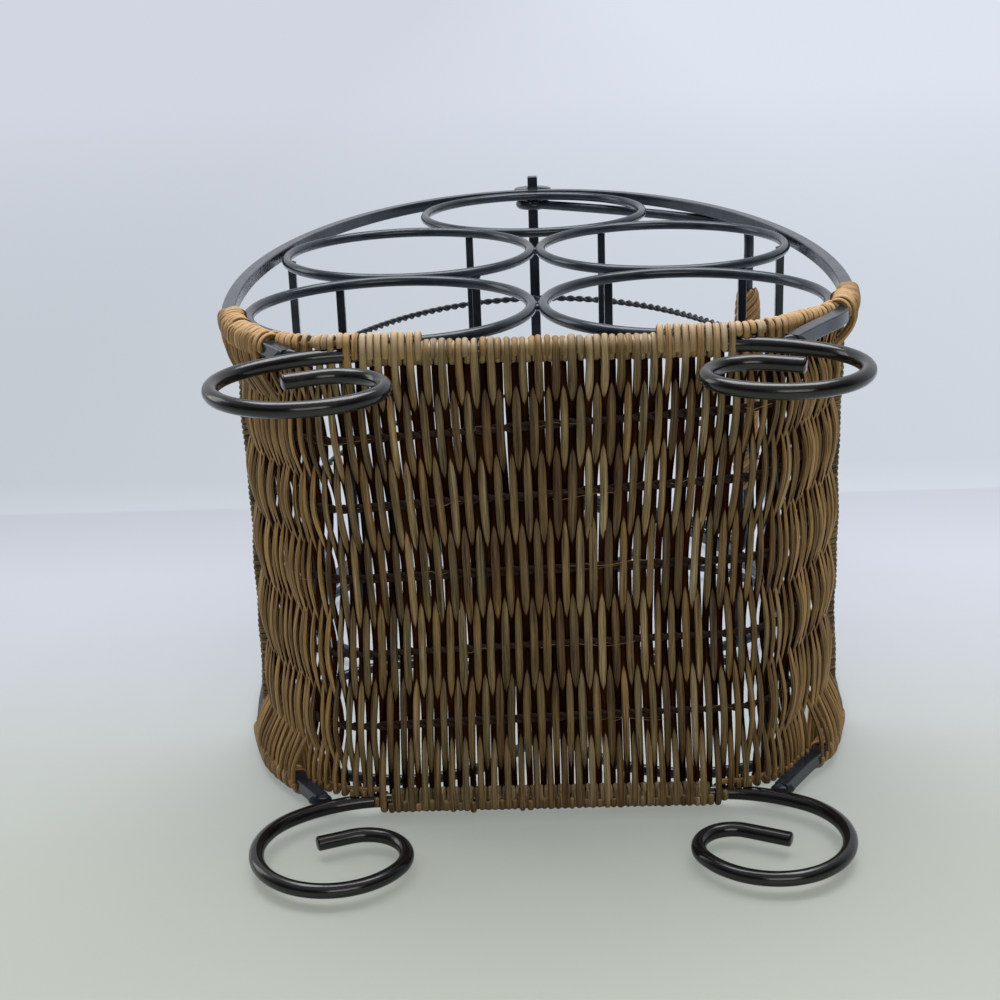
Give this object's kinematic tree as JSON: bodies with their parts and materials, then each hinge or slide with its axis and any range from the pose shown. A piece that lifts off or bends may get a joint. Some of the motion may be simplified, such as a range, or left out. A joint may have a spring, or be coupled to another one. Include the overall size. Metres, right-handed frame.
{
  "type": "wine rack",
  "caption": "Arched wire wine rack with stacked bottle rings, a woven reed base, scroll feet and a swinging carrying handle with a wicker grip.",
  "frame": {"origin": "middle of the footprint, at the lowest point", "axes": "the rack lies on its rear frame as in the picture: +Z runs from the rear frame to the front frame, +Y from the scroll feet to the apex of the arches, +X to the right seen from the feet. In use it stands on the four scroll feet, with +Y up."},
  "size_m": [0.23, 0.3919, 0.1741],
  "materials": {
    "painted_steel": "semi-gloss black paint over square bar, round rod and wire, with small lumps at the welds",
    "twisted_wire": "pairs of thin black wires twisted together",
    "woven_reed": "satin round reed, olive brown, woven and wrapped close",
    "wrapping_reed": "satin pale tan reed in tight turns",
    "handle_wire": "semi-gloss black painted round wire"
  },
  "bodies": {
    "frame": {"front_arch": "painted_steel", "rear_arch": "painted_steel", "front_scroll_rod": "painted_steel", "rear_scroll_rod": "painted_steel", "rear_ring_lower_left": "painted_steel", "rear_ring_lower_right": "painted_steel", "rear_ring_middle_left": "painted_steel", "rear_ring_middle_right": "painted_steel", "rear_ring_top": "painted_steel", "front_ring_lower_left": "painted_steel", "front_ring_lower_right": "painted_steel", "front_ring_middle_left": "painted_steel", "front_ring_middle_right": "painted_steel", "front_ring_top": "painted_steel", "support_bar_lower_left_left": "painted_steel", "support_bar_lower_left_right": "painted_steel", "support_bar_lower_right_left": "painted_steel", "support_bar_lower_right_right": "painted_steel", "support_bar_middle_left_left": "painted_steel", "support_bar_middle_left_right": "painted_steel", "support_bar_middle_right_left": "painted_steel", "support_bar_middle_right_right": "painted_steel", "support_bar_top_left": "painted_steel", "support_bar_top_right": "painted_steel", "side_tie_bar_left": "painted_steel", "side_tie_bar_right": "painted_steel", "top_tie_bar": "painted_steel", "front_apex_lug": "painted_steel", "rear_apex_lug": "painted_steel", "rib_1": "twisted_wire", "hoop_2": "twisted_wire", "rib_3": "twisted_wire", "hoop_4": "twisted_wire", "rib_5": "twisted_wire", "woven_trough": "woven_reed", "front_rim_wrap": "wrapping_reed", "rear_rim_wrap": "wrapping_reed", "front_corner_wrap_left": "wrapping_reed", "front_corner_wrap_right": "wrapping_reed", "rear_corner_wrap_left": "wrapping_reed", "rear_corner_wrap_right": "wrapping_reed", "front_corner_wire_left": "wrapping_reed", "front_corner_wire_right": "wrapping_reed", "rear_corner_wire_left": "wrapping_reed", "rear_corner_wire_right": "wrapping_reed", "edge_bar_left": "painted_steel", "edge_bar_right": "painted_steel", "edge_wrap_left": "woven_reed", "edge_wrap_right": "woven_reed"},
    "handle": {"bail": "handle_wire", "grip_wrap": "woven_reed"}
  },
  "joints": [
    {"name": "handle_swing", "type": "hinge", "parent": "frame", "child": "handle", "pos_m": [0, 0.18471, 0.0858], "axis": [0, 0, 1], "range_deg": [0, 257.5]}
  ]
}
